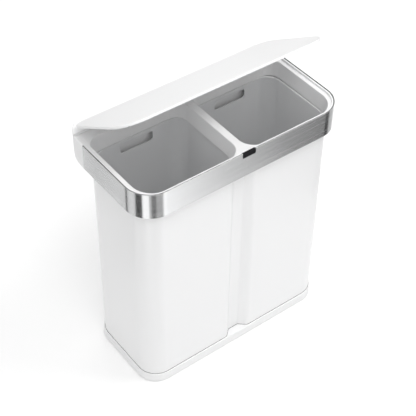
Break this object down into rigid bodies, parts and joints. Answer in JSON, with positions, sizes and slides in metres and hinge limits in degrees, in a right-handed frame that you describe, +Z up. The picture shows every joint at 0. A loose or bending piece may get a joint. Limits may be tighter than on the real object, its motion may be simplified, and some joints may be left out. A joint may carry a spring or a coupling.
{
  "type": "double recycling bin",
  "caption": "Free-standing double recycling bin with a white body, brushed steel rim band, twin inner buckets and a motor-driven lid with a motion sensor, shown part open.",
  "frame": {"origin": "on the floor under the middle of the bin's outside box", "axes": "+Z up, +X to the right of someone who faces the bin, +Y from the front to the back"},
  "size_m": [0.566, 0.325, 0.7947],
  "materials": {
    "white_plastic": "satin white moulding",
    "white_paint": "smooth white powder coat on sheet steel",
    "brushed_steel": "brushed along its length",
    "grey_plastic": "matt grey moulding",
    "black_gloss": "glossy dark window",
    "black_plastic": "matt black moulding",
    "rubber": "matt grey rubber",
    "zinc_steel": "zinc-plated steel",
    "gear_plastic": "natural acetal",
    "circuit_board": "green board",
    "cell_jacket": "plain printed jacket"
  },
  "bodies": {
    "bin": {"base_tray": "white_plastic", "foot_pad_front_left": "rubber", "foot_pad_front_right": "rubber", "foot_pad_rear_left": "rubber", "foot_pad_rear_right": "rubber", "body_shell": "white_paint", "steel_band": "brushed_steel", "top_frame": "white_plastic", "left_bucket": "grey_plastic", "right_bucket": "grey_plastic", "rear_housing": "white_plastic", "hinge_bracket_left": "zinc_steel", "hinge_bracket_right": "zinc_steel", "hinge_pin_left": "zinc_steel", "hinge_pin_right": "zinc_steel", "drive_motor": "zinc_steel", "battery_tray": "black_plastic", "battery_cell_1": "cell_jacket", "battery_cell_2": "cell_jacket", "battery_cell_3": "cell_jacket", "battery_cell_4": "cell_jacket", "battery_cell_5": "cell_jacket", "battery_cell_6": "cell_jacket", "control_board": "circuit_board", "power_switch": "black_plastic", "power_inlet": "black_plastic", "sensor_window": "black_gloss", "sensor_board": "circuit_board", "bracket_screw_right_lower": "zinc_steel", "bracket_screw_right_upper": "zinc_steel", "bracket_screw_left_lower": "zinc_steel", "bracket_screw_left_upper": "zinc_steel", "housing_screw_right": "zinc_steel", "housing_screw_left": "zinc_steel"},
    "lid": {"lid_panel": "white_plastic", "lid_liner": "white_plastic", "drive_gear": "gear_plastic", "hinge_arm_right": "white_plastic", "hinge_arm_left": "white_plastic", "lid_bumper_right": "rubber", "lid_bumper_left": "rubber", "arm_screw_right_1": "zinc_steel", "arm_screw_right_2": "zinc_steel", "arm_screw_left_1": "zinc_steel", "arm_screw_left_2": "zinc_steel"},
    "idler": {"idler_gear": "gear_plastic"},
    "motor_shaft": {"motor_pinion": "zinc_steel"},
    "rocker": {"switch_rocker": "black_plastic"},
    "door": {"battery_door": "white_plastic"}
  },
  "joints": [
    {"name": "lid_hinge", "type": "hinge", "parent": "bin", "child": "lid", "pos_m": [0, 0.138, 0.614], "axis": [-1, 0, 0], "range_deg": [-32.4, 37.6]},
    {"name": "idler_spin", "type": "hinge", "parent": "bin", "child": "idler", "pos_m": [0.205, 0.11434, 0.61607], "axis": [-1, 0, 0], "range_deg": [-105.3, 90.75]},
    {"name": "motor_spin", "type": "hinge", "parent": "bin", "child": "motor_shaft", "pos_m": [0.21, 0.10942, 0.59772], "axis": [-1, 0, 0], "range_deg": [-254.1, 294.9]},
    {"name": "power_rocker", "type": "hinge", "parent": "bin", "child": "rocker", "pos_m": [-0.157, 0.1398, 0.61625], "axis": [0, 0, 1], "range_deg": [-14, 0]},
    {"name": "battery_door_off", "type": "slide", "parent": "bin", "child": "door", "axis": [0, 0.7071, -0.7071], "range_m": [0, 0.06]}
  ],
  "couplings": [
    {"joint": "idler_spin", "follows": "lid_hinge", "ratio": -2.8},
    {"joint": "motor_spin", "follows": "lid_hinge", "ratio": 7.84}
  ]
}
